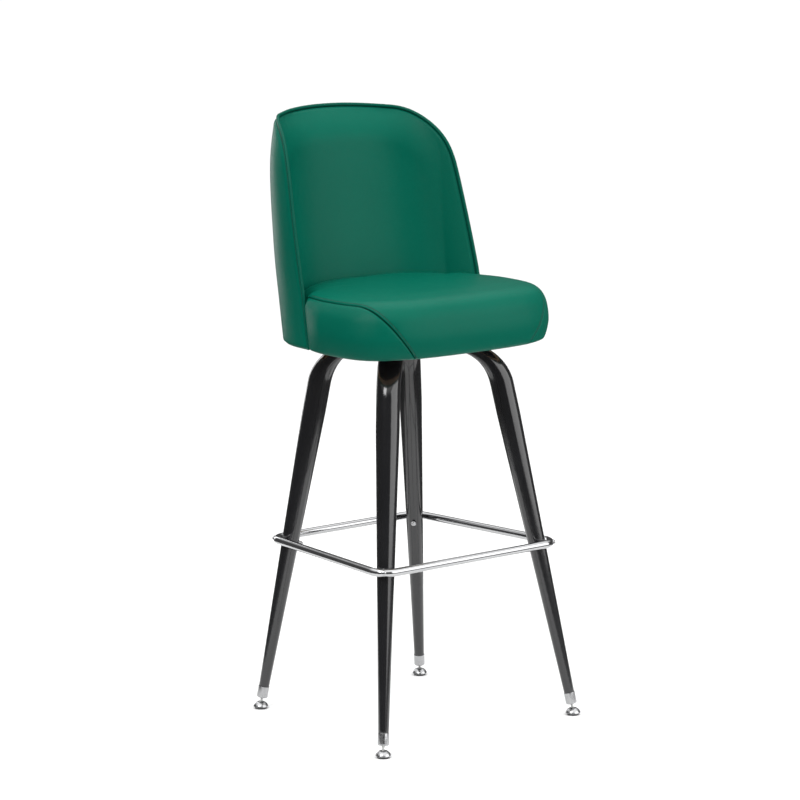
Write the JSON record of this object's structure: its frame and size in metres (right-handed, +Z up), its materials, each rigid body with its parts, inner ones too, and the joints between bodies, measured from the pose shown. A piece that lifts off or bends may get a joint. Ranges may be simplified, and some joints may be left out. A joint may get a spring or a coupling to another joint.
{
  "type": "swivel bar stool",
  "caption": "Swivel bar stool with an upholstered bucket seat, splayed tapered tube legs, a square chromed footring and levelling glides.",
  "frame": {"origin": "on the floor, under the middle of the stool's outline", "axes": "+Z up, -Y to the front of the seat, +X to the right as seen from the front"},
  "size_m": [0.4612, 0.4554, 1.0896],
  "materials": {
    "vinyl": "grained upholstery vinyl, satin",
    "black_enamel": "gloss black enamel",
    "chrome": "bright chrome plating",
    "zinc_steel": "zinc-plated steel",
    "glide_plastic": "moulded dark plastic",
    "plywood": "unfinished plywood",
    "foam": "upholstery foam and wadding",
    "cambric": "black dust-cover cloth"
  },
  "bodies": {
    "base": {"leg_front_left": "black_enamel", "ferrule_front_left": "chrome", "ring_bolt_front_left": "chrome", "cap_nut_front_left": "chrome", "leg_bolt_front_left_1": "black_enamel", "leg_bolt_front_left_2": "black_enamel", "leg_front_right": "black_enamel", "ferrule_front_right": "chrome", "ring_bolt_front_right": "chrome", "cap_nut_front_right": "chrome", "leg_bolt_front_right_1": "black_enamel", "leg_bolt_front_right_2": "black_enamel", "leg_rear_right": "black_enamel", "ferrule_rear_right": "chrome", "ring_bolt_rear_right": "chrome", "cap_nut_rear_right": "chrome", "leg_bolt_rear_right_1": "black_enamel", "leg_bolt_rear_right_2": "black_enamel", "leg_rear_left": "black_enamel", "ferrule_rear_left": "chrome", "ring_bolt_rear_left": "chrome", "cap_nut_rear_left": "chrome", "leg_bolt_rear_left_1": "black_enamel", "leg_bolt_rear_left_2": "black_enamel", "footring": "chrome", "swivel_lower_plate": "zinc_steel", "swivel_rivet": "zinc_steel"},
    "ball_race": {"ball_cage": "zinc_steel"},
    "seat": {"swivel_upper_plate": "zinc_steel", "seat_board": "plywood", "seat_hoop": "plywood", "dust_cover": "cambric", "shell_screw_left": "zinc_steel", "shell_screw_right": "zinc_steel", "back_inside_cover": "vinyl", "back_outside_cover": "vinyl", "back_welt": "vinyl", "back_foam": "foam", "back_wadding": "foam", "back_shell": "plywood", "seat_foam": "foam", "seat_top_cover": "vinyl", "seat_side_cover_left": "vinyl", "seat_side_cover_right": "vinyl", "seat_screw_1": "zinc_steel", "seat_screw_2": "zinc_steel", "seat_screw_3": "zinc_steel", "seat_screw_4": "zinc_steel"},
    "stem_front_left": {"glide_stem_front_left": "zinc_steel"},
    "foot_front_left": {"glide_cup_front_left": "chrome", "glide_pad_front_left": "glide_plastic"},
    "stem_front_right": {"glide_stem_front_right": "zinc_steel"},
    "foot_front_right": {"glide_cup_front_right": "chrome", "glide_pad_front_right": "glide_plastic"},
    "stem_rear_right": {"glide_stem_rear_right": "zinc_steel"},
    "foot_rear_right": {"glide_cup_rear_right": "chrome", "glide_pad_rear_right": "glide_plastic"},
    "stem_rear_left": {"glide_stem_rear_left": "zinc_steel"},
    "foot_rear_left": {"glide_cup_rear_left": "chrome", "glide_pad_rear_left": "glide_plastic"}
  },
  "joints": [
    {"name": "seat_swivel", "type": "hinge", "parent": "base", "child": "seat", "pos_m": [0, 0.00295, 0.6866], "axis": [0, 0, 1], "continuous": true},
    {"name": "ball_race_spin", "type": "hinge", "parent": "base", "child": "ball_race", "pos_m": [0, 0.00295, 0.6866], "axis": [0, 0, 1], "continuous": true},
    {"name": "levelling_front_left", "type": "slide", "parent": "base", "child": "stem_front_left", "axis": [-0.1456, -0.1456, -0.9786], "range_m": [-0.003, 0.012]},
    {"name": "foot_tilt_front_left", "type": "hinge", "parent": "stem_front_left", "child": "foot_front_left", "pos_m": [-0.21729, -0.21434, 0.0085], "axis": [-0.7071, 0.7071, 0], "range_deg": [-8, 8]},
    {"name": "levelling_front_right", "type": "slide", "parent": "base", "child": "stem_front_right", "axis": [0.1456, -0.1456, -0.9786], "range_m": [-0.003, 0.012]},
    {"name": "foot_tilt_front_right", "type": "hinge", "parent": "stem_front_right", "child": "foot_front_right", "pos_m": [0.21729, -0.21434, 0.0085], "axis": [-0.7071, -0.7071, 0], "range_deg": [-8, 8]},
    {"name": "levelling_rear_right", "type": "slide", "parent": "base", "child": "stem_rear_right", "axis": [0.1357, 0.1357, -0.9814], "range_m": [-0.003, 0.012]},
    {"name": "foot_tilt_rear_right", "type": "hinge", "parent": "stem_rear_right", "child": "foot_rear_right", "pos_m": [0.18547, 0.18842, 0.0085], "axis": [0.7071, -0.7071, 0], "range_deg": [-8, 8]},
    {"name": "levelling_rear_left", "type": "slide", "parent": "base", "child": "stem_rear_left", "axis": [-0.1357, 0.1357, -0.9814], "range_m": [-0.003, 0.012]},
    {"name": "foot_tilt_rear_left", "type": "hinge", "parent": "stem_rear_left", "child": "foot_rear_left", "pos_m": [-0.18547, 0.18842, 0.0085], "axis": [0.7071, 0.7071, 0], "range_deg": [-8, 8]}
  ],
  "couplings": [
    {"joint": "ball_race_spin", "follows": "seat_swivel", "ratio": 0.5}
  ]
}
